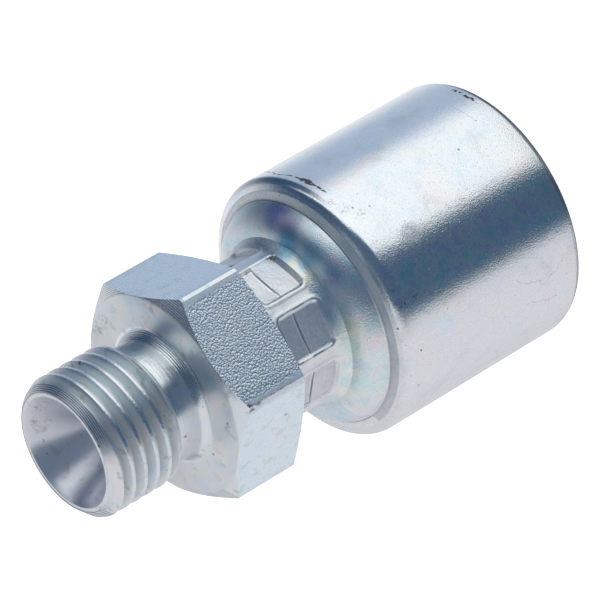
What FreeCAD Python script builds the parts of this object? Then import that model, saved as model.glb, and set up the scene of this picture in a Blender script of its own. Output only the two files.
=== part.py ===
import FreeCAD, Part
import math
import os

# Crimp-on hose end with a G 1/4 male thread and a 60 degree seat, for 3/8 inch hose.
# It stands on the open end of the ferrule: Z is the flow axis, the thread points up, and
# the origin is the middle of the ferrule's open rim.

# Flats that stand for a small rounding, and for the ferrule's dome
BEND_FLAT_COUNT = 2
DOME_FLAT_COUNT = 4

# Male stub
THREAD_D = 13.157
THREAD_LENGTH = 7.12
SEAT_MOUTH_D = 10.48
SEAT_ANGLE = 60.0
LIP_WIDTH = 0.46
LEAD_ANGLE = 45.0
RELIEF_D = 11.22
RELIEF_LENGTH = 3.93
RELIEF_RUNOUT_ANGLE = 45.0
RELIEF_FILLET = 0.9

# Hexagon
HEX_ACROSS_FLATS = 19.0
HEX_LENGTH = 7.45
HEX_BLUNT_CORNER = 0.11
HEX_FACE_INSET = 0.04
HEX_FACE_CHAMFER = 32.5
HEX_BACK_OUTSET = 0.05
HEX_BACK_CHAMFER = 15.0

# Collar that carries the ferrule, and the groove the ferrule is staked into
COLLAR_D = 11.5
COLLAR_GAP = 0.25
COLLAR_OVERHANG = 0.5
LOCK_GROOVE_DEPTH = 0.55
LOCK_GROOVE_WIDTH = 2.6
LOCK_GROOVE_OFFSET = 3.5
LOCK_SIDE_GAP = 0.2

# Barbed hose tail
TAIL_ROOT_D = 9.1
TAIL_BARB_D = 9.9
TAIL_RECESS = 1.2
TAIL_NOSE_LENGTH = 1.6
TAIL_NOSE_D = 8.5
TAIL_PLAIN_LENGTH = 2.5
BARB_PITCH = 5.0
BARB_DROP = 0.4

# Flow passage
FLOW_BORE_D = 4.8
TAIL_BORE_D = 6.6
TAIL_BORE_DEPTH = 27.0
DRILL_POINT_ANGLE = 118.0

# Ferrule outside, from its open rim up to its neck
FERRULE_OD = 24.9
FERRULE_LENGTH = 30.45
RIM_ROUND = 0.8
SHOULDER_HEIGHT = 21.5
SHOULDER_WIDTH = 1.7
SHOULDER_ROUND = 0.9
SHOULDER_SLOPE = 19.0
DOME_STEP_IN = 0.15
DOME_STEP_UP = 0.2
DOME_START_ANGLE = 20.0
DOME_END_ANGLE = 84.0
FLARE_ROUND = 2.085
FLARE_ANGLE = 48.0
NECK_WALL = 1.7
NECK_END_CHAMFER = 0.3

# Ferrule inside
FERRULE_WALL = 2.05
RIM_LEAD = 0.55
RIB_HEIGHT = 0.6
RIB_BASE = 1.9
RIB_PITCH = 4.7
RIB_FIRST = 3.2
ROOF_THICKNESS = 2.0
ROOF_CORNER = 0.8
THROAT_SPREAD = 0.53
THROAT_RISE = 0.9
THROAT_CHAMFER = 0.6

# Stake marks pressed round the neck, each of two lands
STAKE_COUNT = 8
STAKE_TURN = -60.8
STAKE_WIDTH = 4.4
STAKE_LOWER_LENGTH = 2.6
STAKE_UPPER_LENGTH = 2.1
STAKE_END_INSET = 1.15
STAKE_LOWER_DEPTH = 0.46
STAKE_UPPER_DEPTH = 0.56
STAKE_CORNER = 0.5
STAKE_CLEAR = 1.0

# Radii that more than one outline uses
collar_r = COLLAR_D / 2
lock_r = collar_r - LOCK_GROOVE_DEPTH
neck_r = collar_r + NECK_WALL
ferrule_r = FERRULE_OD / 2
shoulder_r = ferrule_r - SHOULDER_WIDTH
dome_r = shoulder_r - DOME_STEP_IN

# Heights from the rim up
dome_base = SHOULDER_HEIGHT + DOME_STEP_UP
ferrule_top = FERRULE_LENGTH
throat_height = SHOULDER_HEIGHT + THROAT_RISE
groove_middle = ferrule_top - LOCK_GROOVE_OFFSET
hex_base = ferrule_top + COLLAR_GAP
hex_top = hex_base + HEX_LENGTH
thread_start = hex_top + RELIEF_LENGTH
mouth_height = thread_start + THREAD_LENGTH


def tangent(degrees):
    return math.tan(math.radians(degrees))


def cosine(degrees):
    return math.cos(math.radians(degrees))


def around(centre, radius, angle):
    """The outline point at an angle round a bend's centre: 0 points outwards, 90 upwards."""
    return (
        centre[0] + radius * math.cos(math.radians(angle)),
        centre[1] + radius * math.sin(math.radians(angle)),
    )


def bend(centre, radius, start, end, flats=BEND_FLAT_COUNT):
    """A rounding of an outline, turned as a few flats that end on the arc."""
    step = (end - start) / flats
    return [around(centre, radius, start + step * flat) for flat in range(1, flats + 1)]


def turned(outline):
    """Spin a closed outline of (radius, height) points about the flow axis."""
    corners = [FreeCAD.Vector(radius, 0, height) for radius, height in outline + outline[:1]]
    face = Part.Face(Part.makePolygon(corners))
    return face.revolve(FreeCAD.Vector(0, 0, 0), FreeCAD.Vector(0, 0, 1), 360)


def hose_tail():
    """Outline of the tail from its nose up to the collar, with barbs that ramp away from it."""
    root_r = TAIL_ROOT_D / 2
    barb_r = TAIL_BARB_D / 2
    collar_start = throat_height - COLLAR_OVERHANG
    height = TAIL_RECESS + TAIL_NOSE_LENGTH
    outline = [
        (0, TAIL_RECESS),
        (TAIL_NOSE_D / 2, TAIL_RECESS),
        (root_r, height),
    ]
    while height + BARB_PITCH < collar_start - TAIL_PLAIN_LENGTH:
        height += BARB_PITCH
        outline += [
            (barb_r, height - BARB_DROP),
            (root_r, height),
        ]
    return outline + [(root_r, collar_start)]


def staked_collar():
    """Outline of the collar inside the ferrule's neck, with its lock groove."""
    groove_top = groove_middle + LOCK_GROOVE_WIDTH / 2
    groove_bottom = groove_middle - LOCK_GROOVE_WIDTH / 2
    return [
        (collar_r, throat_height - COLLAR_OVERHANG),
        (collar_r, groove_bottom),
        (lock_r, groove_bottom),
        (lock_r, groove_top),
        (collar_r, groove_top),
        (collar_r, hex_base),
    ]


def male_stub():
    """Outline of the relief, its fillet onto the hexagon, the thread blank and the lip."""
    relief_r = RELIEF_D / 2
    thread_r = THREAD_D / 2
    lip_r = SEAT_MOUTH_D / 2 + LIP_WIDTH
    fillet_r = relief_r + RELIEF_FILLET
    return [
        (fillet_r, hex_base),
        (fillet_r, hex_top),
        *bend((fillet_r, hex_top + RELIEF_FILLET), RELIEF_FILLET, 270, 180),
        (relief_r, thread_start - (thread_r - relief_r) / tangent(RELIEF_RUNOUT_ANGLE)),
        (thread_r, thread_start),
        (thread_r, mouth_height - (thread_r - lip_r) / tangent(LEAD_ANGLE)),
        (lip_r, mouth_height),
        (0, mouth_height),
    ]


def hexagon():
    """The spanner hexagon, with turned chamfers at both ends and slightly blunt corners."""
    corner_r = HEX_ACROSS_FLATS / 2 / cosine(30)
    corners = [
        FreeCAD.Vector(*around((0, 0), corner_r, 60 * side), hex_base)
        for side in range(7)
    ]
    prism = Part.Face(Part.makePolygon(corners)).extrude(FreeCAD.Vector(0, 0, HEX_LENGTH))
    blunt_r = corner_r - HEX_BLUNT_CORNER
    face_r = HEX_ACROSS_FLATS / 2 - HEX_FACE_INSET
    back_r = HEX_ACROSS_FLATS / 2 + HEX_BACK_OUTSET
    envelope = turned([
        (0, hex_base),
        (back_r, hex_base),
        (blunt_r, hex_base + (blunt_r - back_r) * tangent(HEX_BACK_CHAMFER)),
        (blunt_r, hex_top - (blunt_r - face_r) * tangent(HEX_FACE_CHAMFER)),
        (face_r, hex_top),
        (0, hex_top),
    ])
    return prism.common(envelope)


def flow_passage():
    """The seat cone, the drilled bore and the wider bore from the tail end, as one cutter."""
    mouth_r = SEAT_MOUTH_D / 2
    bore_r = FLOW_BORE_D / 2
    tail_r = TAIL_BORE_D / 2
    seat_depth = (mouth_r - bore_r) / tangent(SEAT_ANGLE / 2)
    drill_end = TAIL_RECESS + TAIL_BORE_DEPTH
    return turned([
        (0, TAIL_RECESS),
        (tail_r, TAIL_RECESS),
        (tail_r, drill_end),
        (bore_r, drill_end + (tail_r - bore_r) / tangent(DRILL_POINT_ANGLE / 2)),
        (bore_r, mouth_height - seat_depth),
        (mouth_r, mouth_height),
        (0, mouth_height),
    ])


def stem():
    blank = turned(hose_tail() + staked_collar() + male_stub())
    return blank.fuse(hexagon()).removeSplitter().cut(flow_passage())


def shoulder():
    """From the body's side round and up a shallow slope to the foot of the dome."""
    middle_r = ferrule_r - SHOULDER_ROUND
    end_r, rise = around((middle_r, 0), SHOULDER_ROUND, 90 - SHOULDER_SLOPE)
    start = SHOULDER_HEIGHT - (end_r - shoulder_r) * tangent(SHOULDER_SLOPE) - rise
    return [
        (ferrule_r, start),
        *bend((middle_r, start), SHOULDER_ROUND, 0, 90 - SHOULDER_SLOPE),
        (shoulder_r, SHOULDER_HEIGHT),
    ]


def dome():
    """A convex dome that meets the hollow flare of the neck at a faint crease."""
    crease_r = neck_r + FLARE_ROUND * (1 - cosine(FLARE_ANGLE))
    spread = cosine(DOME_START_ANGLE) - cosine(DOME_END_ANGLE)
    dome_round = (dome_r - crease_r) / spread
    middle = around((dome_r, dome_base), dome_round, 180 + DOME_START_ANGLE)
    crease_height = around(middle, dome_round, DOME_END_ANGLE)[1]
    flare_top = around((0, crease_height), FLARE_ROUND, FLARE_ANGLE)[1]
    flare_middle = (neck_r + FLARE_ROUND, flare_top)
    return [
        (dome_r, dome_base),
        *bend(middle, dome_round, DOME_START_ANGLE, DOME_END_ANGLE, DOME_FLAT_COUNT),
        *bend(flare_middle, FLARE_ROUND, 180 + FLARE_ANGLE, 180),
    ]


def ferrule_outside():
    """Outline from the rounded rim up over the shoulder and dome to the neck's end."""
    return [
        (ferrule_r - RIM_ROUND, 0),
        *bend((ferrule_r - RIM_ROUND, RIM_ROUND), RIM_ROUND, 270, 360),
        *shoulder(),
        *dome(),
        (neck_r, ferrule_top - NECK_END_CHAMFER),
        (neck_r - NECK_END_CHAMFER, ferrule_top),
    ]


def ferrule_inside():
    """The way back down: staked bore with its lock bead, throat, roof and grip ribs."""
    wall_r = ferrule_r - FERRULE_WALL
    throat_r = collar_r + (wall_r - collar_r) * THROAT_SPREAD
    roof = SHOULDER_HEIGHT - ROOF_THICKNESS
    half_bead = LOCK_GROOVE_WIDTH / 2 - LOCK_SIDE_GAP
    outline = [
        (collar_r, ferrule_top),
        (collar_r, groove_middle + half_bead),
        (lock_r, groove_middle + half_bead - LOCK_SIDE_GAP),
        (lock_r, groove_middle - half_bead + LOCK_SIDE_GAP),
        (collar_r, groove_middle - half_bead),
        (collar_r, throat_height),
        (collar_r + THROAT_CHAMFER, throat_height - THROAT_CHAMFER),
        (throat_r, roof),
        (wall_r - ROOF_CORNER, roof),
        (wall_r, roof - ROOF_CORNER),
    ]
    room = roof - ROOF_CORNER - RIB_FIRST - RIB_BASE
    for rib in reversed(range(1 + int(room / RIB_PITCH))):
        base = RIB_FIRST + rib * RIB_PITCH
        outline += [
            (wall_r, base + RIB_BASE),
            (wall_r - RIB_HEIGHT, base + RIB_BASE / 2),
            (wall_r, base),
        ]
    return outline + [(wall_r, RIM_LEAD), (wall_r + RIM_LEAD, 0)]


def stake_mark():
    """One jaw's print, facing +X: a lower land with rounded corners and a deeper upper land."""
    step = ferrule_top - STAKE_END_INSET - STAKE_UPPER_LENGTH
    lower = Part.makeBox(
        STAKE_LOWER_DEPTH + STAKE_CLEAR, STAKE_WIDTH, STAKE_LOWER_LENGTH,
        FreeCAD.Vector(neck_r - STAKE_LOWER_DEPTH, -STAKE_WIDTH / 2, step - STAKE_LOWER_LENGTH),
    )
    corners = [
        edge for edge in lower.Edges
        if edge.BoundBox.ZMax < step and edge.BoundBox.XLength > STAKE_CLEAR
    ]
    upper = Part.makeBox(
        STAKE_UPPER_DEPTH + STAKE_CLEAR, STAKE_WIDTH, STAKE_UPPER_LENGTH,
        FreeCAD.Vector(neck_r - STAKE_UPPER_DEPTH, -STAKE_WIDTH / 2, step),
    )
    return lower.makeFillet(STAKE_CORNER, corners).fuse(upper)


def ferrule():
    shell = turned(ferrule_outside() + ferrule_inside())
    marks = []
    for place in range(STAKE_COUNT):
        mark = stake_mark()
        turn = STAKE_TURN + 360 * place / STAKE_COUNT
        mark.rotate(FreeCAD.Vector(0, 0, 0), FreeCAD.Vector(0, 0, 1), turn)
        marks.append(mark)
    return shell.cut(marks)


os.makedirs("parts", exist_ok=True)
for name, shape in (("stem", stem()), ("ferrule", ferrule())):
    shape.exportStep(f"parts/{name}.step")
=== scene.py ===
import math

import bmesh
import bpy
from mathutils import Matrix, Quaternion, Vector


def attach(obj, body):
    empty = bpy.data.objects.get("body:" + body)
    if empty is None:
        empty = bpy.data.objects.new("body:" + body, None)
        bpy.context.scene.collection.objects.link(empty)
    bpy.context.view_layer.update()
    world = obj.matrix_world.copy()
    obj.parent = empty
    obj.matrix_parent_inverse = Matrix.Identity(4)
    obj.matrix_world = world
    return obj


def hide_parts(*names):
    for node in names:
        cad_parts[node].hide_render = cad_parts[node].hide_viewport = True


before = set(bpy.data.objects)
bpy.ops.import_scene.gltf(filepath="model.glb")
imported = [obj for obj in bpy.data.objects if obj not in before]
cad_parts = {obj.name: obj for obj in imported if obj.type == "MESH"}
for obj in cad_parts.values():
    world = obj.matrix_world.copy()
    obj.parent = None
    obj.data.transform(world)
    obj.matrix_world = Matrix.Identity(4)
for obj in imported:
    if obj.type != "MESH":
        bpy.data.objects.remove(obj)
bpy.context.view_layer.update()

# A crimp-on hose end, modelled in millimetres and scaled to metres as each piece is finished.
# Z is the flow axis: the ferrule's open rim stands on the floor and the thread points up.
MM = 0.001

# Faces round the stem, faces across one stake mark's sector, and the bend in degrees that looks round
COLUMNS = 240
SECTOR_COLUMNS = 60
SMOOTH_BELOW = 24

# Thread, relief and seat
PITCH = 1.337
THREAD_R = 13.157 / 2
THREAD_DEPTH = 0.856
ROOT_ROUND = 0.1373 * PITCH
CREST_FLAT = 0.28
CREST_EDGE = 0.04
FLANK_ANGLE = 27.5
CREST_HEIGHT = 47.43
CREST_TURN = -71.28
MOUTH_HEIGHT = 49.2
LIP_R = 5.70
MOUTH_R = 5.24
SEAT_HALF_ANGLE = 30
RELIEF_R = 5.61
RELIEF_FILLET = 0.9
RUNOUT_HEIGHT = 42.08 - (THREAD_R - RELIEF_R)

# Hexagon
HALF_FLATS = 9.5
CORNER_R = 10.86
HEX_TOP = 38.15
HEX_BASE = 30.70
FACE_R = 9.46
FACE_CHAMFER = 32.5
BACK_R = 9.55
BACK_CHAMFER = 15

# Hose tail and the passage through it
COLLAR_R = 5.75
COLLAR_BASE = 21.9
TAIL_ROOT_R = 4.55
BARB_R = 4.95
BARB_TOPS = (17.8, 12.8, 7.8)
NOSE_TOP = 2.8
NOSE_R = 4.25
NOSE_HEIGHT = 1.2
NOSE_ROUND = 0.2
BORE_R = 2.4
TAIL_BORE_R = 3.3
TAIL_BORE_TOP = 28.2
DRILL_POINT_TOP = 28.74

# Ferrule
FERRULE_R = 12.45
RIM_ROUND = 0.8
SHOULDER_HEIGHT = 21.5
SHOULDER_R = 10.75
SHOULDER_ROUND = 0.9
SHOULDER_SLOPE = 19
DOME_R = 10.6
DOME_BASE = 21.7
DOME_START = 20
DOME_END = 84
FLARE_ROUND = 2.085
FLARE_ANGLE = 48
NECK_R = 7.45
NECK_TOP = 30.45
NECK_CHAMFER = 0.3

# Socket for the hose, inside the ferrule
FERRULE_FIT = 0.02
THROAT_HEIGHT = 22.4
THROAT_CHAMFER = 0.6
THROAT_R = 8.207
ROOF_HEIGHT = 19.5
ROOF_CORNER = 0.8
SOCKET_R = 10.4
RIB_R = 9.8
RIB_BASES = (12.6, 7.9, 3.2)
RIB_BASE_LENGTH = 1.9
RIM_LEAD = 0.55

# Stake marks round the neck
MARKS = 8
MARK_TURN = -60.8
MARK_HALF_WIDTH = 2.2
MARK_START = 24.6
MARK_STEP = 27.2
MARK_END = 29.3
LOWER_LAND = 6.98
UPPER_LAND = 6.85
MARK_CORNER = 0.55
MARK_WALL = 0.3
STEP_BOW = 0.12
STEP_LENGTH = 0.16
LAND_CROWN = 0.10
RIDGE = 0.05


def tangent(degrees):
    return math.tan(math.radians(degrees))


def arc(centre, radius, start, end, count):
    """Points of a rounding of an outline: 0 degrees points outwards and 90 upwards."""
    steps = [math.radians(start + (end - start) * i / count) for i in range(count + 1)]
    return [(centre[0] + radius * math.cos(a), centre[1] + radius * math.sin(a)) for a in steps]


def rows(start, end, spacing):
    """Points along a straight run of an outline, both ends left out."""
    count = math.ceil(math.dist(start, end) / spacing)
    return [
        tuple(a + (b - a) * i / count for a, b in zip(start, end))
        for i in range(1, count)
    ]


def swept(outline, start, angle, steps, climb=0.0):
    """A bmesh of an outline of (radius, height) points, swept part of the way round the flow axis."""
    shape = bmesh.new()
    turn = Matrix.Rotation(math.radians(start), 3, "Z")
    points = [shape.verts.new(turn @ Vector((r, 0, z))) for r, z in outline]
    edges = [shape.edges.new(pair) for pair in zip(points, points[1:])]
    bmesh.ops.spin(
        shape, geom=points + edges, cent=(0, 0, 0), axis=(0, 0, 1),
        dvec=(0, 0, climb / steps), angle=math.radians(angle), steps=steps,
    )
    return shape


def repeated(shape, copies, angle=0.0, climb=0.0):
    """Set copies of a swept part side by side or above each other, and weld them."""
    bmesh.ops.spin(
        shape, geom=shape.verts[:] + shape.edges[:] + shape.faces[:], cent=(0, 0, 0),
        axis=(0, 0, 1), dvec=(0, 0, climb), angle=math.radians(angle) * copies,
        steps=copies, use_duplicate=True,
    )
    bmesh.ops.remove_doubles(shape, verts=shape.verts, dist=0.0005)
    return shape


def thread_sleeve():
    """The helical thread, cut square at both ends and then topped by its lead and runout cones."""
    root_r = THREAD_R - THREAD_DEPTH + ROOT_ROUND
    lean = 90 - FLANK_ANGLE
    half = CREST_FLAT / 2
    crest = [
        *arc((THREAD_R - CREST_EDGE, PITCH / 2 - half), CREST_EDGE, -lean, 0, 2),
        *arc((THREAD_R - CREST_EDGE, PITCH / 2 + half), CREST_EDGE, 0, lean, 2),
    ]
    root_up = arc((root_r, 0), ROOT_ROUND, 180, 180 - lean, 4)
    root_down = arc((root_r, PITCH), ROOT_ROUND, 180 + lean, 180, 4)
    outline = [
        *root_up, *rows(root_up[-1], crest[0], 0.12), *crest,
        *rows(crest[-1], root_down[0], 0.12), *root_down,
    ]
    base = CREST_HEIGHT - 6.5 * PITCH
    lowest = [(r, base + z) for r, z in outline]
    shape = repeated(swept(lowest, CREST_TURN, 360, COLUMNS, climb=PITCH), 7, climb=PITCH)
    low, high = RUNOUT_HEIGHT + 0.02, MOUTH_HEIGHT - 0.02
    for height, outwards in ((low, -1), (high, 1)):
        everything = shape.verts[:] + shape.edges[:] + shape.faces[:]
        bmesh.ops.bisect_plane(
            shape, geom=everything, dist=0.0001, plane_co=(0, 0, height),
            plane_no=(0, 0, outwards), clear_outer=True,
        )
    for point in shape.verts:
        cone = min(LIP_R + MOUTH_HEIGHT - point.co.z, RELIEF_R + point.co.z - RUNOUT_HEIGHT)
        over = cone / point.co.xy.length
        if over < 1:
            point.co.xy = point.co.xy * over
    return shape


def stem_outline():
    """From the relief down to the tail's nose, then up the passage to the lip."""
    relief_foot = (RELIEF_R, HEX_TOP + RELIEF_FILLET)
    corner_top = HEX_TOP - (CORNER_R - FACE_R) * tangent(FACE_CHAMFER)
    corner_base = HEX_BASE + (CORNER_R - BACK_R) * tangent(BACK_CHAMFER)
    outline = [
        (RELIEF_R, RUNOUT_HEIGHT),
        *rows((RELIEF_R, RUNOUT_HEIGHT), relief_foot, 0.5),
        *arc((RELIEF_R + RELIEF_FILLET, HEX_TOP + RELIEF_FILLET), RELIEF_FILLET, 180, 270, 14),
        (8.0, HEX_TOP - 0.01),
        (FACE_R - 0.04, HEX_TOP),
        (FACE_R, HEX_TOP - 0.012),
        (10.2, HEX_TOP - (10.2 - FACE_R) * tangent(FACE_CHAMFER)),
        (CORNER_R, corner_top),
        (CORNER_R, corner_base),
        (BACK_R, HEX_BASE),
        (COLLAR_R + 0.3, HEX_BASE),
        (COLLAR_R, HEX_BASE - 0.1),
        (COLLAR_R, COLLAR_BASE),
        (TAIL_ROOT_R, COLLAR_BASE),
    ]
    for top in BARB_TOPS:
        outline += [
            (TAIL_ROOT_R, top),
            *arc((BARB_R - 0.1, top - 0.3), 0.1, 60, -20, 3),
            (BARB_R - 0.02, top - 0.4),
        ]
    nose_round = NOSE_HEIGHT + NOSE_ROUND
    seat_foot = (BORE_R, MOUTH_HEIGHT - (MOUTH_R - BORE_R) / tangent(SEAT_HALF_ANGLE))
    outline += [
        (TAIL_ROOT_R, NOSE_TOP),
        *arc((NOSE_R - NOSE_ROUND, nose_round), NOSE_ROUND, 15, -90, 4),
        *arc((TAIL_BORE_R + NOSE_ROUND, nose_round), NOSE_ROUND, 270, 180, 3),
        (TAIL_BORE_R, TAIL_BORE_TOP),
        (BORE_R, DRILL_POINT_TOP),
        seat_foot,
        *rows(seat_foot, (MOUTH_R, MOUTH_HEIGHT), 0.8),
        (MOUTH_R - 0.02, MOUTH_HEIGHT - 0.035),
        (MOUTH_R + 0.02, MOUTH_HEIGHT),
        (LIP_R, MOUTH_HEIGHT),
    ]
    return outline


def stem():
    """The turned stem, one flat of the hexagon at a time, with the thread sleeve let in."""
    shape = swept(stem_outline(), 0, 60, COLUMNS // 6)
    out = Vector((math.cos(math.radians(30)), math.sin(math.radians(30)), 0))
    cut = bmesh.ops.bisect_plane(
        shape, geom=shape.verts[:] + shape.edges[:] + shape.faces[:], dist=0.0001,
        plane_co=out * HALF_FLATS, plane_no=out, clear_outer=True,
    )
    rim = [part for part in cut["geom_cut"] if isinstance(part, bmesh.types.BMEdge)]
    bmesh.ops.contextual_create(shape, geom=rim)
    repeated(shape, 5, angle=60)
    sleeve = bpy.data.meshes.new("thread")
    thread_sleeve().to_mesh(sleeve)
    shape.from_mesh(sleeve)
    bpy.data.meshes.remove(sleeve)
    for height in (MOUTH_HEIGHT, RUNOUT_HEIGHT):
        seam = [
            edge for edge in shape.edges
            if edge.is_boundary and abs(edge.verts[0].co.z - height) < 0.1
        ]
        bmesh.ops.bridge_loops(shape, edges=seam)
    return shape


def dome_outline():
    """The convex dome from its foot up to a faint crease, then the hollow flare of the neck."""
    start, end, flare = (math.radians(a) for a in (DOME_START, DOME_END, FLARE_ANGLE))
    crease_r = NECK_R + FLARE_ROUND * (1 - math.cos(flare))
    round_r = (DOME_R - crease_r) / (math.cos(start) - math.cos(end))
    middle = (DOME_R - round_r * math.cos(start), DOME_BASE - round_r * math.sin(start))
    crease_height = middle[1] + round_r * math.sin(end)
    flare_top = crease_height + FLARE_ROUND * math.sin(flare)
    outline = arc(middle, round_r, DOME_START, DOME_END, 26)
    outline += arc((NECK_R + FLARE_ROUND, flare_top), FLARE_ROUND, 180 + FLARE_ANGLE, 180, 18)[1:]
    return outline


def ferrule_outline():
    """Up the outside from the rim to the neck's end, then back down the staked bore and grip ribs."""
    slope = tangent(SHOULDER_SLOPE)
    lean = math.radians(90 - SHOULDER_SLOPE)
    round_middle = FERRULE_R - SHOULDER_ROUND
    round_end = round_middle + SHOULDER_ROUND * math.cos(lean)
    shoulder_start = (
        SHOULDER_HEIGHT - (round_end - SHOULDER_R) * slope - SHOULDER_ROUND * math.sin(lean)
    )
    outline = [
        (FERRULE_R - RIM_ROUND, 0),
        *arc((FERRULE_R - RIM_ROUND, RIM_ROUND), RIM_ROUND, 276, 360, 10),
        *rows((FERRULE_R, RIM_ROUND), (FERRULE_R, shoulder_start), 2.0),
        *arc((round_middle, shoulder_start), SHOULDER_ROUND, 0, 90 - SHOULDER_SLOPE, 12),
        (SHOULDER_R + 0.35, SHOULDER_HEIGHT - 0.35 * slope),
        (SHOULDER_R + 0.04, SHOULDER_HEIGHT - 0.03),
        (SHOULDER_R, SHOULDER_HEIGHT + 0.02),
        (SHOULDER_R - 0.02, DOME_BASE - 0.1),
        (DOME_R + 0.05, DOME_BASE - 0.04),
        *dome_outline(),
    ]
    chamfer_foot = (NECK_R, NECK_TOP - NECK_CHAMFER)
    outline += rows(outline[-1], chamfer_foot, 0.1)
    outline += [
        chamfer_foot,
        (NECK_R - 0.12, NECK_TOP - 0.08),
        (NECK_R - NECK_CHAMFER, NECK_TOP),
        (COLLAR_R + FERRULE_FIT, NECK_TOP),
        (COLLAR_R + FERRULE_FIT, THROAT_HEIGHT),
        (COLLAR_R + THROAT_CHAMFER, THROAT_HEIGHT - THROAT_CHAMFER),
        (THROAT_R, ROOF_HEIGHT),
        *arc((SOCKET_R - ROOF_CORNER, ROOF_HEIGHT - ROOF_CORNER), ROOF_CORNER, 90, 0, 5),
    ]
    for base in RIB_BASES:
        outline += [
            (SOCKET_R, base + RIB_BASE_LENGTH),
            *arc((RIB_R + 0.06, base + RIB_BASE_LENGTH / 2), 0.06, 130, 230, 3),
            (SOCKET_R, base),
        ]
    return outline + [(SOCKET_R, RIM_LEAD), (SOCKET_R + RIM_LEAD, 0)]


def press_marks(shape):
    """Press the staking jaws' marks into the neck: a crowned lower land and a deeper upper one."""
    for point in shape.verts:
        radius, height = point.co.xy.length, point.co.z
        if radius < 6.6 or not MARK_START - 0.8 < height < MARK_END + 0.8:
            continue
        turn = math.degrees(math.atan2(point.co.y, point.co.x)) - MARK_TURN
        off = math.radians((turn + 180 / MARKS) % (360 / MARKS) - 180 / MARKS)
        aside = abs(NECK_R * math.sin(off)) / MARK_HALF_WIDTH
        across = MARK_HALF_WIDTH * (1 - aside)
        along = min(height - MARK_START, MARK_END - height)
        inside = min(across, along)
        if across < MARK_CORNER and along < MARK_CORNER:
            inside = MARK_CORNER - math.hypot(MARK_CORNER - across, MARK_CORNER - along)
        crown = max(1 - aside ** 2, 0)
        step = min(max((height - MARK_STEP - STEP_BOW * crown) / STEP_LENGTH + 0.5, 0), 1)
        lower = LOWER_LAND + LAND_CROWN * crown - 0.08 * (MARK_STEP - height) / (MARK_STEP - MARK_START)
        upper = UPPER_LAND + 0.07 * (1 - crown) + 0.03 * (height - MARK_STEP)
        land = lower + (upper - lower) * step
        wall = min(max(inside / MARK_WALL, 0), 1)
        wall = wall * wall * (3 - 2 * wall)
        ridge = RIDGE * math.exp(-(((inside + 0.12) / 0.2) ** 2))
        target = radius + (min(land / math.cos(off), radius) - radius) * wall + ridge
        point.co.xy = point.co.xy * (target / radius)


def ferrule():
    outline = ferrule_outline()
    sector = 360 / MARKS
    shape = swept(outline + outline[:1], MARK_TURN - sector / 2, sector, SECTOR_COLUMNS)
    press_marks(shape)
    return repeated(shape, MARKS - 1, angle=sector)


def finished(shape, name, node, materials):
    """Turn a bmesh in millimetres into the object that stands for a CAD node."""
    bmesh.ops.recalc_face_normals(shape, faces=shape.faces)
    for edge in shape.edges:
        edge.smooth = edge.calc_face_angle(0) < math.radians(SMOOTH_BELOW)
    for face in shape.faces:
        face.smooth = True
    bmesh.ops.scale(shape, vec=(MM, MM, MM), verts=shape.verts)
    mesh = bpy.data.meshes.new(name)
    shape.to_mesh(mesh)
    shape.free()
    for material in materials:
        mesh.materials.append(material)
    piece = bpy.data.objects.new(name, mesh)
    bpy.context.scene.collection.objects.link(piece)
    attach(piece, "root")
    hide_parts(node)
    return piece


class Value:
    """A socket of a node tree: arithmetic on it adds Math nodes."""

    def __init__(self, nodes, socket):
        self.nodes = nodes
        self.socket = socket

    def __add__(self, other):
        return self.nodes.maths("ADD", self, other)

    def __sub__(self, other):
        return self.nodes.maths("SUBTRACT", self, other)

    def __rsub__(self, other):
        return self.nodes.maths("SUBTRACT", other, self)

    def __mul__(self, other):
        return self.nodes.maths("MULTIPLY", self, other)

    def __truediv__(self, other):
        return self.nodes.maths("DIVIDE", self, other)

    def __abs__(self):
        return self.nodes.maths("ABSOLUTE", self)

    __radd__ = __add__
    __rmul__ = __mul__


class Nodes:
    """A node tree, and the few ways in which this scene's finishes add to it."""

    def __init__(self, tree):
        self.tree = tree

    def add(self, kind, settings=None, values=None, out=0):
        node = self.tree.nodes.new(kind)
        for name, setting in (settings or {}).items():
            if name == "stops":
                marks = node.color_ramp.elements
                while len(marks) < len(setting):
                    marks.new(1)
                for mark, (position, colour) in zip(marks, setting):
                    mark.position = position
                    mark.color = (*colour, 1)
            else:
                setattr(node, name, setting)
        for name, value in (values or {}).items():
            if isinstance(value, Value):
                self.tree.links.new(value.socket, node.inputs[name])
            else:
                node.inputs[name].default_value = value
        return Value(self, node.outputs[out])

    def maths(self, operation, *terms):
        return self.add("ShaderNodeMath", {"operation": operation}, dict(enumerate(terms)))

    def ease(self, value, low, high):
        """0 below low, 1 above high, and smooth between; low may be the larger one."""
        return self.add(
            "ShaderNodeMapRange", {"interpolation_type": "SMOOTHSTEP"},
            {0: value, 1: low, 2: high},
        )

    def band(self, value, middle, half, soft):
        """1 where the value is within half of the middle, fading out over soft."""
        return self.ease(abs(value - middle), half + soft, half)

    def mix(self, share, below, above):
        """Two colours mixed; each is a Value or three numbers."""
        colours = [c if isinstance(c, Value) else (*c, 1) for c in (below, above)]
        return self.add(
            "ShaderNodeMix", {"data_type": "RGBA"},
            {0: share, 6: colours[0], 7: colours[1]}, out=2,
        )

    def parts(self, vector):
        split = self.tree.nodes.new("ShaderNodeSeparateXYZ")
        self.tree.links.new(vector.socket, split.inputs[0])
        return [Value(self, socket) for socket in split.outputs]

    def vector(self, x, y, z):
        return self.add("ShaderNodeCombineXYZ", None, {0: x, 1: y, 2: z})

    def angle(self, x, y):
        """The angle of (x, y) in degrees."""
        return self.maths("ARCTAN2", y, x) * math.degrees(1)


ZINC = (0.80, 0.83, 0.87)
DIRT = (0.10, 0.085, 0.08)
STAIN = (0.44, 0.43, 0.42)
WHITE = (1.0, 1.0, 1.0)


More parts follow.
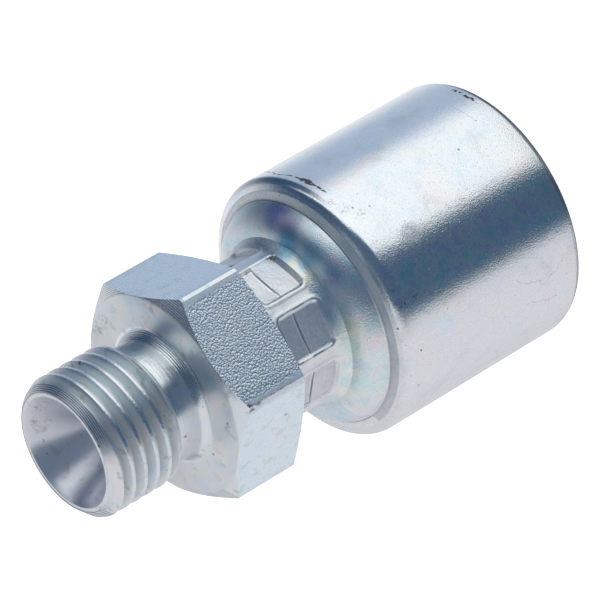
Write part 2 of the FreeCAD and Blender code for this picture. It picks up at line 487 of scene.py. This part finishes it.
class Finish(Nodes):
    """A plated finish whose patterns read the object's own place, in millimetres."""

    def __init__(self, name):
        self.material = bpy.data.materials.new(name)
        self.material.use_nodes = True
        super().__init__(self.material.node_tree)
        self.shader = self.tree.nodes["Principled BSDF"]
        self.shader.inputs["Metallic"].default_value = 1
        metres = self.add("ShaderNodeTexCoord", out="Object")
        self.place = self.add(
            "ShaderNodeVectorMath", {"operation": "SCALE"}, {0: metres, 3: 1000}
        )
        self.x, self.y, self.height = self.parts(self.place)
        self.radius = self.maths("SQRT", self.x * self.x + self.y * self.y)
        self.turn = self.angle(self.x, self.y)
        self.normal = None

    def noise(self, scale, detail=2.0, rough=0.5, bend=0.0, at=None):
        return self.add("ShaderNodeTexNoise", None, {
            "Vector": at or self.place, "Scale": scale, "Detail": detail,
            "Roughness": rough, "Distortion": bend,
        })

    def lathe_lines(self, per_mm, waver=1.5):
        """Fine uneven rings round the flow axis, on cylinders, faces and cones alike."""
        across = (self.height * 0.8 + self.radius * 1.3) * per_mm
        at = self.vector(
            self.x / self.radius * waver, self.y / self.radius * waver, across
        )
        return self.noise(1, detail=3, rough=0.6, at=at)

    def cutter_rings(self, spacing):
        """The even fine rings that a turning tool leaves."""
        across = (self.height - self.radius) * (2 * math.pi / spacing / 1.4)
        return self.maths("SINE", across) * 0.5 + 0.5

    def specks(self, per_mm, size, share):
        """Small round dots, in a share of the cells that they are scattered over."""
        cells = self.tree.nodes.new("ShaderNodeTexVoronoi")
        cells.inputs["Scale"].default_value = per_mm
        self.tree.links.new(self.place.socket, cells.inputs["Vector"])
        distance = Value(self, cells.outputs["Distance"])
        lot = self.parts(Value(self, cells.outputs["Color"]))[0]
        return self.ease(distance, size * per_mm, size * per_mm * 0.4) * self.ease(
            lot, share, share * 0.9
        )

    def spot(self, turn, height, radius, size, soft=0.5):
        """A round mark about a point of the surface."""
        at = (
            radius * math.cos(math.radians(turn)), radius * math.sin(math.radians(turn)), height
        )
        distance = self.add(
            "ShaderNodeVectorMath", {"operation": "DISTANCE"}, {0: self.place, 1: at}, out=1
        )
        return self.ease(distance, size, size * (1 - soft))

    def blotch(self, turn, height, radius, size, broken):
        """A ragged cluster of specks about a point of the surface."""
        return self.spot(turn, height, radius, size, soft=0.9) * self.ease(broken, 0.50, 0.60)

    def scratch(self, start, end, width, wobble, radius=FERRULE_R):
        """A fine wavering line between two (turn, height) places of a cylinder."""
        arc_mm = radius * math.radians(1)
        run = ((end[0] - start[0]) * arc_mm, end[1] - start[1])
        length = math.hypot(*run)
        aside = (self.turn - start[0]) * arc_mm + wobble
        up = self.height - start[1]
        along = (aside * run[0] + up * run[1]) / length
        off = (aside * run[1] - up * run[0]) / length
        return self.ease(abs(off), width, width * 0.3) * self.band(
            along, length / 2, length / 2 - 0.2, 0.2
        )

    def film(self, strength, size=3.5):
        """The zinc's colour with the faint rainbow of its clear passivation."""
        cloud = self.noise(1 / size, detail=2.5, bend=0.8)
        tints = self.add("ShaderNodeValToRGB", {"stops": [
            (0.32, (0.58, 0.80, 0.86)), (0.40, (0.78, 0.80, 0.92)), (0.47, ZINC),
            (0.54, (0.79, 0.86, 0.86)), (0.61, (0.90, 0.87, 0.80)), (0.70, (0.93, 0.76, 0.80)),
        ]}, {0: cloud})
        return self.mix(strength, ZINC, tints)

    def bump(self, height, depth):
        """Raise the surface by a pattern, depth in millimetres."""
        values = {"Height": height, "Distance": depth * MM, "Strength": 1.0}
        if self.normal:
            values["Normal"] = self.normal
        self.normal = self.add("ShaderNodeBump", None, values)

    def done(self, colour, roughness, matt):
        """Join the finish to its shader; matt is the share that scatters light like bare chalky zinc."""
        for name, value in (
            ("Base Color", colour), ("Roughness", roughness), ("Metallic", 1 - matt),
            ("Normal", self.normal),
        ):
            self.tree.links.new(value.socket, self.shader.inputs[name])
        return self.material


def ferrule_tints(f, dome):
    """The plating's colours: strongest on the dome, violet by its foot and teal further up."""
    patches = f.noise(0.6, detail=3, rough=0.65)
    teal = dome * f.ease(patches, 0.40, 0.60)
    violet = dome * f.ease(patches, 0.52, 0.38) * f.ease(f.height, 23.6, 22.6)
    band = f.band(f.turn, -103, 8, 5) * f.ease(f.radius, 12.0, 12.2)
    colour = f.mix(f.ease(f.turn, -112, -135) * 0.5, f.film(0.35), (0.86, 0.82, 0.87))
    colour = f.mix(band * f.ease(patches, 0.47, 0.60) * 0.75, colour, (0.45, 0.80, 0.88))
    colour = f.mix(band * f.ease(patches, 0.48, 0.36) * 0.65, colour, (0.72, 0.62, 0.92))
    colour = f.mix(dome * f.ease(f.turn, -98, -116) * 0.4, colour, (1.0, 0.98, 0.85))
    colour = f.mix(teal * 0.45, colour, (0.42, 0.76, 0.88))
    colour = f.mix(violet * 0.35, colour, (0.74, 0.66, 0.90))
    for turn, height, radius, size, tint in (
        (-36, 22.5, 10.2, 2.1, (0.30, 0.30, 0.70)), (-48, 22.9, 9.7, 1.7, (0.40, 0.30, 0.56)),
        (-50, 23.5, 8.5, 1.9, (0.12, 0.50, 0.72)), (-68, 23.4, 8.9, 1.7, (0.22, 0.54, 0.72)),
        (-85, 23.2, 9.3, 1.5, (0.42, 0.48, 0.78)), (-116, 23.8, 8.9, 1.6, (0.93, 0.92, 0.70)),
        (-129, 23.8, 8.5, 1.5, (0.70, 0.92, 0.82)), (-62, 24.6, 7.9, 0.9, (0.86, 0.84, 0.66)),
        (-126, 22.7, 10.3, 1.5, (0.94, 0.80, 0.84)), (-152, 23.3, 9.0, 1.8, (0.72, 0.90, 0.90)),
        (-75, 24.4, 8.1, 1.2, (0.86, 0.88, 0.72)), (-128, 16.4, 12.45, 1.6, (0.72, 0.84, 0.95)),
    ):
        colour = f.mix(f.spot(turn, height, radius, size, soft=0.9) * 0.8, colour, tint)
    return colour


def scuffed_line(f, wander):
    """The broken dark line round the cylinder below its shoulder, and a short one by the rim."""
    line = wander * 0.5 + 19.47 + f.ease(f.turn, -36, -28) * 0.22 - f.ease(f.turn, -27, -11) * 0.84
    width = f.ease(abs(f.turn + 43.0), 5.0, 1.5) * 0.22 + 0.07
    scuff = f.ease(abs(f.height - line) / width, 1.15, 0.7) * f.band(f.turn, -32, 21, 2)
    scuff = scuff + f.band(f.height - wander * 0.6, 0.85, 0.10, 0.06) * f.band(f.turn, -44, 6, 1)
    return scuff * f.ease(f.noise(2.6, detail=2), 0.40, 0.50) * f.ease(f.radius, 12.0, 12.2)


def ferrule_dirt(f):
    """Specks, a few larger dots and some thin scratches."""
    wobble = (f.noise(1.3, detail=3, rough=0.6) - 0.5) * 1.6
    lines = f.scratch((-46, 3.24), (-58.6, 3.07), 0.05, wobble)
    for start, end in (((-128, 7.9), (-136, 4.6)), ((-136, 4.6), (-131, 2.2)), ((-141, 7.0), (-147, 3.0))):
        lines = lines + f.scratch(start, end, 0.06, wobble)
    dots = f.specks(0.9, 0.085, 0.30) + f.specks(0.33, 0.13, 0.12)
    dots = dots + f.specks(1.7, 0.07, 0.45) * f.ease(f.turn, -110, -125) * 0.8
    for turn, height, radius, size in (
        (-67, 19.1, 12.45, 0.14), (-70, 17.7, 12.45, 0.12), (-133, 19.5, 12.45, 0.16),
        (-120, 21.1, 11.9, 0.16), (-47.2, 1.3, 12.45, 0.2), (-68, 6.7, 12.45, 0.16),
    ):
        dots = dots + f.spot(turn, height, radius, size)
    return f.add("ShaderNodeClamp", None, {0: dots * 0.7 + lines * 0.32})


def rubbed_places(f, broken):
    """Ragged dark rubs near the shoulder, and one by the corner of a stake mark."""
    rubs = f.blotch(-46, 24.9, 7.3, 0.7, broken + 0.08) * 1.6
    for turn, height, size in (
        (-65, 19.8, 0.9), (-71, 18.8, 0.9), (-60, 20.2, 0.6), (-84, 19.6, 0.5),
        (-111.7, 20.1, 0.9), (-110.6, 19.0, 1.1), (-104, 20.6, 0.8), (-150, 19.9, 0.6),
    ):
        rubs = rubs + f.blotch(turn, height, FERRULE_R, size, broken)
    return f.maths("MINIMUM", rubs * 0.6, 1)


def stake_mark_tone_and_painted_light(f, colour, lands, broken, wander):
    """Painted shade on one mark, and each mark's step between its two lands drawn as a painted shadow line
    and a painted highlight line.
    """
    shaded = f.band(f.turn, -106, 18, 4) * lands
    aside = f.maths("WRAP", f.turn - MARK_TURN, 180 / MARKS, -180 / MARKS) / 18
    above = f.height - (1 - aside * aside) * STEP_BOW - MARK_STEP
    colour = f.mix(lands * f.ease(wander, 0.45, 0.62) * 0.3, colour, (0.66, 0.62, 0.68))
    # Painted shade on one mark
    colour = f.mix(shaded * f.ease(broken, 0.35, 0.6) * 0.6, colour, (0.46, 0.60, 0.70))
    # Painted highlight just above each step, and painted shadow along it
    colour = f.mix(f.band(above, 0.13, 0.05, 0.05) * lands * 0.6, colour, WHITE)
    return f.mix(f.band(above, 0.0, 0.03, 0.04) * lands * 0.7, colour, (0.16, 0.20, 0.25))


def ledge_painted_light_and_dirt(f, colour, ledge):
    """The shoulder's narrow sloping face: a painted highlight and dirt on one side, painted shade in the
    middle.
    """
    dirty = ledge * f.ease(f.noise(5.0, detail=3, rough=0.7), 0.56, 0.66)
    # Painted highlight on one side of the ledge
    colour = f.mix(ledge * f.ease(f.turn, -62, -45) * 0.8, colour, WHITE)
    # Painted shade across the middle of the ledge
    colour = f.mix(ledge * f.band(f.turn, -95, 16, 14) * 0.6, colour, (0.36, 0.44, 0.52))
    return f.mix(dirty * f.ease(f.turn, -75, -45) * 0.4, colour, DIRT)


def ferrule_finish():
    f = Finish("plated_ferrule")
    grain = f.noise(8.0, detail=1)
    broken = f.noise(4.0, detail=4, rough=0.72)
    wander = f.noise(1.1, detail=3, rough=0.65)

    # Where each part of the ferrule lies
    outside = f.ease(f.radius, 6.45, 6.6)
    inside = f.ease(f.height, 0.6, 2.0) * f.ease(f.radius, 11.0, 10.8)
    dome = f.ease(f.height, 21.55, 21.8) * f.ease(f.height, 24.9, 24.2) * outside
    lands = f.ease(f.radius, 7.36, 7.2) * f.ease(f.height, 24.3, 24.7) * outside
    ledge = f.band(f.radius, 11.1, 0.3, 0.12) * f.band(f.height, 21.4, 0.2, 0.1)
    seam = f.band(f.radius, 10.72, 0.03, 0.06) * f.band(f.height, 21.57, 0.08, 0.08)

    # Wear and dirt
    smudge = f.ease(f.noise(0.35, detail=5, rough=0.62), 0.50, 0.85) * 0.3
    pale = f.spot(-87.9, 16.12, FERRULE_R, 1.15, soft=0.4) * f.ease(grain, 0.35, 0.6)
    dust = f.specks(1.3, 0.07, 0.30) * f.ease(f.turn, -120, -112)
    scuff = scuffed_line(f, wander)
    dull = lands * (1 - f.band(f.turn, -61, 18, 4) * 0.9)

    colour = ferrule_tints(f, dome)
    colour = f.mix(f.ease(grain, 0.60, 0.72) * 0.5, colour, WHITE)
    colour = f.mix(f.ease(grain, 0.40, 0.28) * 0.3, colour, (0.40, 0.46, 0.55))
    colour = f.mix(smudge, colour, STAIN)
    colour = f.mix(pale * 0.5, colour, (0.80, 0.82, 0.82))
    colour = f.mix(ferrule_dirt(f), colour, DIRT)
    colour = f.mix(dust * 0.8, colour, WHITE)
    colour = f.mix(scuff * 0.88, colour, (0.075, 0.05, 0.05))
    # Painted shadow: a dark line along the crease at the dome's foot, darker on one side
    colour = f.mix(seam * (f.ease(f.turn, -80, -50) * 0.45 + 0.3), colour, DIRT)
    colour = ledge_painted_light_and_dirt(f, colour, ledge)
    colour = f.mix(rubbed_places(f, broken), colour, (0.16, 0.13, 0.13))
    colour = stake_mark_tone_and_painted_light(f, colour, lands, broken, wander)

    f.bump(f.noise(1.3, detail=2), 0.006)
    f.bump(grain * (1 + dome * 2.2), 0.011)
    f.bump(f.specks(3.2, 0.10, 0.4), 0.004)
    f.bump(f.noise(3.0, detail=3, rough=0.6) * lands, 0.05)
    f.bump(f.noise(4.5, detail=2) * ledge, 0.05)
    f.bump(scuff * -1, 0.03)
    roughness = (
        0.13 + grain * 0.10 + smudge * 0.35 + pale * 0.25 + scuff * 0.4 + dull * 0.18
        + ledge * 0.34 + inside * 0.15
    )
    chalky_ledge = ledge * (0.7 - f.ease(f.turn, -75, -50) * 0.6)
    return f.done(colour, roughness, dull * 0.2 + chalky_ledge + dust * 0.5)


def stem_stains(f):
    """Faint stains all over, and ragged ones on the hexagon's face, in the seat and on the thread."""
    broken = f.noise(3.6, detail=4, rough=0.75)
    stain = f.ease(f.noise(0.8, detail=3, rough=0.6), 0.56, 0.70) * 0.35
    for turn, height, radius, size, share in (
        (12.6, HEX_TOP, 8.48, 1.0, 0.5), (26.1, HEX_TOP, 8.98, 1.1, 0.5), (-2.6, HEX_TOP, 8.44, 0.8, 0.45),
        (18.1, 48.37, 4.76, 0.7, 0.8), (39.0, 48.48, 4.83, 0.5, 0.8), (39.3, 47.44, 4.22, 0.45, 0.7),
        (63.0, 48.04, 4.57, 0.5, 0.7), (-167.6, 48.61, 6.29, 0.5, 0.6),
    ):
        stain = stain + f.blotch(turn, height, radius, size * 1.3, broken) * share
    return stain


def stem_specks(f):
    """Small specks, some larger dots, and the nicked corner of the hexagon."""
    dots = f.specks(1.0, 0.08, 0.25)
    for turn, height, radius, size in (
        (-128.7, HEX_TOP, 8.42, 0.16), (-138.9, 40.6, RELIEF_R, 0.18), (-164.8, HEX_TOP, 6.88, 0.16),
        (-118.4, 36.25, CORNER_R, 0.45), (-121.3, 37.04, CORNER_R, 0.4), (-28, 45.1, 6.5, 0.24),
        (-103.8, MOUTH_HEIGHT, 5.66, 0.16),
    ):
        dots = dots + f.spot(turn, height, radius, size)
    return dots


def stem_finish():
    f = Finish("plated_stem")

    # Where each part of the stem lies
    stub = f.ease(f.radius, 5.5, 5.6)
    seat = f.ease(f.radius, 5.32, 5.28) * f.ease(f.height, 43.9, 44.1)
    thread = f.ease(f.height, 41.0, 41.3) * stub
    relief = f.ease(f.height, HEX_TOP, HEX_TOP + 0.15) * f.ease(f.height, 41.3, 41.0) * stub
    fillet = relief * f.ease(f.height, 39.1, 38.8)
    face = f.band(f.height, HEX_TOP - 0.01, 0.03, 0.05) * f.ease(f.radius, 6.4, 6.6)
    chamfer = f.ease(f.radius, 9.44, 9.50) * f.ease(f.height, 37.0, 37.1)
    crest = thread * f.ease(f.radius, 6.48, 6.55)
    lead = thread * f.ease(f.height, 48.15, 48.35)
    flank = thread * f.ease(f.radius, 6.5, 6.2) * (1 - lead)
    root = thread * f.ease(f.radius, 6.05, 5.75) * (1 - lead)
    hidden = f.ease(f.height, 30.8, 30.6)
    near = f.ease(f.turn, -112, -95)

    colour = f.film(0.30)
    patches = f.film(0.95, size=2.4)
    colour = f.mix(face * 0.55, colour, patches)
    # Painted highlight: a near-white streak on the relief groove on one side
    colour = f.mix(relief * f.band(f.turn, -56, 20, 18) * 0.9, colour, (0.95, 1.0, 1.0))
    colour = f.mix(flank, colour, f.mix(0.45, (0.82, 0.86, 0.87), patches))
    # Painted highlight on the thread flanks on one side
    colour = f.mix(flank * f.band(f.turn, -55, 22, 18) * 0.8, colour, (0.92, 1.0, 1.0))
    # Painted shade in the thread's roots
    colour = f.mix(root * 0.2, colour, (0.42, 0.44, 0.48))
    colour = f.mix(seat * 0.8, colour, (0.87, 0.86, 0.92))
    colour = f.mix(seat * f.band(f.turn, 15, 35, 15) * 0.35, colour, (0.62, 0.64, 0.68))
    tool = f.cutter_rings(0.18)
    # Painted shade in the cutter grooves of the lead chamfer, the relief fillet and the hexagon's chamfer,
    # on the near side
    groove_shade = f.ease(tool, 0.75, 0.25) * (lead * 0.75 + fillet * 0.7 + chamfer * 0.5) * near
    colour = f.mix(groove_shade, colour, (0.20, 0.24, 0.30))
    stain = stem_stains(f)
    colour = f.mix(stain, colour, (0.34, 0.33, 0.32))
    colour = f.mix(stem_specks(f) * 0.7, colour, DIRT)

    rings = f.lathe_lines(8.0)
    f.bump(rings * (relief * 0.45 + seat * 0.25 + 0.15), 0.030)
    f.bump(tool * (fillet + chamfer * 0.8 + lead) * (near * 0.8 + 0.2), 0.022)
    f.bump(f.noise(9.0, detail=2), 0.004)
    f.bump(f.noise(8.0, detail=2) * (crest + lead * 0.5), 0.012)
    f.bump(f.noise(2.4, detail=2) * thread, 0.02)
    grime = f.noise(1.7, detail=3, rough=0.65)
    roughness = (
        0.22 + grime * 0.08 + thread * 0.12 + seat * 0.07 + face * 0.06 + flank * 0.16
        + hidden * 0.1 + stain * 0.2 - relief * 0.02 - crest * 0.10
    )
    f.shader.inputs["Anisotropic"].default_value = 0.7
    f.shader.inputs["Anisotropic Rotation"].default_value = 0.25
    return f.done(colour, roughness, flank * 0.12 + face * 0.2 + seat * 0.2)


def flats_finish():
    """The hexagon's rolled flats: a skin of small bubbles under the zinc, plainer on the upper flat, with
    painted glints and a painted darker strip along the rolled lower edge.
    """
    f = Finish("hexagon_flats")
    bubbles = f.add("ShaderNodeTexVoronoi", None, {"Vector": f.place, "Scale": 5.0})
    fine = f.noise(7.0, detail=2, rough=0.55)
    sparkle = f.noise(5.5, detail=2, rough=0.6)
    upper = f.band(f.turn, -30, 29, 1)
    edge = f.ease(f.radius, 10.55, 10.75)
    rolled = f.ease(f.radius, 10.15, 10.4) * f.band(f.turn, -115, 6, 2)
    worn = f.ease(f.noise(0.9, detail=3, rough=0.6), 0.52, 0.66)

    # Painted highlights: bright dots on the bubbles' middles and on the upper flat's speckle
    painted_glints = f.ease(bubbles, 0.28, 0.10) * (1 - upper) * 0.5 + f.ease(sparkle, 0.54, 0.64) * upper * 0.6
    nicks = f.band(f.turn, -119.3, 0.5, 0.4) * f.ease(f.noise(2.2, detail=3, rough=0.7), 0.42, 0.55)
    nicks = f.maths("MINIMUM", nicks + f.spot(-118.8, 37.2, 10.84, 0.4), 1)
    dots = f.specks(0.8, 0.10, 0.25) + f.spot(-136.9, 32.9, 9.7, 0.2)
    colour = f.mix(0.3, (0.80, 0.91, 1.0), f.film(1.0, size=2.5))
    colour = f.mix(painted_glints, colour, (0.95, 0.97, 1.0))
    colour = f.mix(worn * 0.18, colour, STAIN)
    # Painted shade: a darker blue strip along the rolled lower edge of one flat
    colour = f.mix(rolled * 0.3, colour, (0.40, 0.52, 0.70))
    colour = f.mix(nicks * 0.8, colour, (0.08, 0.10, 0.13))
    colour = f.mix(dots * 0.6, colour, DIRT)

    f.bump(bubbles * bubbles * (1 - upper * 0.85) * (1 - edge * 0.8), -0.019)
    f.bump(fine, 0.005)
    f.bump(sparkle * upper, 0.012)
    roughness = 0.20 + fine * 0.12 + edge * 0.1
    return f.done(colour, roughness, worn * 0.08 + 0.04)


def white_floor():
    """A floor that shows white and keeps a soft shadow; the metal mirrors the studio alone."""
    shape = bmesh.new()
    bmesh.ops.create_grid(shape, x_segments=1, y_segments=1, size=3)
    mesh = bpy.data.meshes.new("floor")
    shape.to_mesh(mesh)
    shape.free()
    floor = bpy.data.objects.new("floor", mesh)
    bpy.context.scene.collection.objects.link(floor)
    floor.visible_glossy = False
    floor.visible_shadow = False
    paper = bpy.data.materials.new("white_floor")
    paper.use_nodes = True
    p = Nodes(paper.node_tree)
    p.tree.nodes.remove(p.tree.nodes["Principled BSDF"])
    seen = p.add("ShaderNodeLightPath", out="Is Camera Ray")
    glow = p.add("ShaderNodeEmission", None, {"Color": (1, 1, 1, 1), "Strength": seen * 0.85})
    matt = p.add("ShaderNodeBsdfDiffuse", None, {"Color": (0.9, 0.9, 0.9, 1)})
    both = p.add("ShaderNodeAddShader", None, {0: glow, 1: matt})
    p.tree.links.new(both.socket, p.tree.nodes["Material Output"].inputs["Surface"])
    mesh.materials.append(paper)


def studio():
    """A dim room with a big soft light, a lesser one and a pale paper sweep, by direction."""
    world = bpy.data.worlds.new("studio")
    world.use_nodes = True
    s = Nodes(world.node_tree)
    ray = s.add("ShaderNodeTexCoord", out="Generated")
    x, y, z = s.parts(ray)
    turn = s.angle(x, y)
    rise = s.maths("ARCSINE", z) * math.degrees(1)
    low = s.ease(rise, -10, -36)

    # The room, with a pale fill from low down and a grey wall beyond the lights
    light = s.mix(s.ease(abs(turn + 110), 60, 130), (0.074, 0.128, 0.195), (0.040, 0.080, 0.150))
    light = s.mix(s.ease(rise, 50, 85), light, (0.11, 0.16, 0.22))
    fill = low * s.ease(turn, -60, -40) * s.ease(turn, 100, 90)
    light = s.mix(fill, light, (0.47, 0.57, 0.71))
    beyond = s.ease(turn, 52, 88) * s.ease(turn, 150, 130) * s.ease(rise, 78, 50)
    light = s.mix(beyond * s.ease(rise, 16, 28), light, (0.63, 0.64, 0.66))

    # The big soft light, whose right edge leans, and the lesser one beside it
    right_edge = low * 14 + s.ease(rise, 18, 30) * 27
    key = s.ease(turn - rise * 0.5, -70, -63) * s.ease(turn - right_edge, -8, -34)
    light = s.mix(key * s.ease(rise, 41, 31), light, (1.13, 1.16, 1.16))
    second = s.ease(turn, 28, 78) * s.ease(turn, 94, 88) * s.ease(rise, 40, 30)
    light = s.mix(second, light, (0.97, 0.98, 1.0))

    # The paper sweep, and the dark gap under its near edge
    towards = (math.cos(math.radians(151)), math.sin(math.radians(151)), 0)
    facing = s.add("ShaderNodeVectorMath", {"operation": "DOT_PRODUCT"}, {0: ray, 1: towards}, out=1)
    facing = facing + s.maths("MAXIMUM", z, 0) * 0.14
    paper_light = s.mix(s.ease(abs(turn), 110, 165), (0.70, 0.705, 0.72), (0.77, 0.78, 0.80))
    light = s.mix(s.ease(facing, 0.26, 0.385), light, paper_light)
    under = s.ease(rise, -37, -46) * (s.ease(abs(turn), 150, 110) * 0.5 + 0.38)
    light = s.mix(under, light, (0.045, 0.06, 0.085))

    seen = s.add("ShaderNodeLightPath", out="Is Camera Ray")
    light = s.mix(seen, light, WHITE)
    background = world.node_tree.nodes["Background"]
    world.node_tree.links.new(light.socket, background.inputs["Color"])
    return world


stem_piece = finished(stem(), "threaded_stem", "stem", [stem_finish(), flats_finish()])
# The six flats of the hexagon carry the second finish
for face in stem_piece.data.polygons:
    outer = Vector((face.center.x, face.center.y)).length > HALF_FLATS * MM * 0.999
    if outer and abs(face.normal.z) < 0.01 and len(face.vertices) > 12:
        face.material_index = 1
finished(ferrule(), "staked_ferrule", "ferrule", [ferrule_finish()])
white_floor()
bpy.context.scene.world = studio()

# Camera where the photograph was taken from, rolled so that the flow axis runs to the lower left
VIEWPOINT = (-0.026381, -0.369653, 0.250342)
VIEW_AZIMUTH = -4.2603
VIEW_ELEVATION = 31.6952
VIEW_ROLL = -120.2258
view = bpy.data.cameras.new("camera")
view.lens = 300
view.sensor_width = 36
view.clip_start = 0.05
camera = bpy.data.objects.new("camera", view)
bpy.context.scene.collection.objects.link(camera)
azimuth, elevation, roll = (math.radians(a) for a in (VIEW_AZIMUTH, VIEW_ELEVATION, VIEW_ROLL))
back = Vector((
    math.sin(azimuth) * math.cos(elevation),
    -math.cos(azimuth) * math.cos(elevation),
    math.sin(elevation),
))
camera.rotation_mode = "QUATERNION"
camera.rotation_quaternion = (-back).to_track_quat("-Z", "Y") @ Quaternion((0, 0, 1), roll)
camera.location = VIEWPOINT
bpy.context.scene.camera = camera
bpy.context.scene.view_settings.view_transform = "Standard"
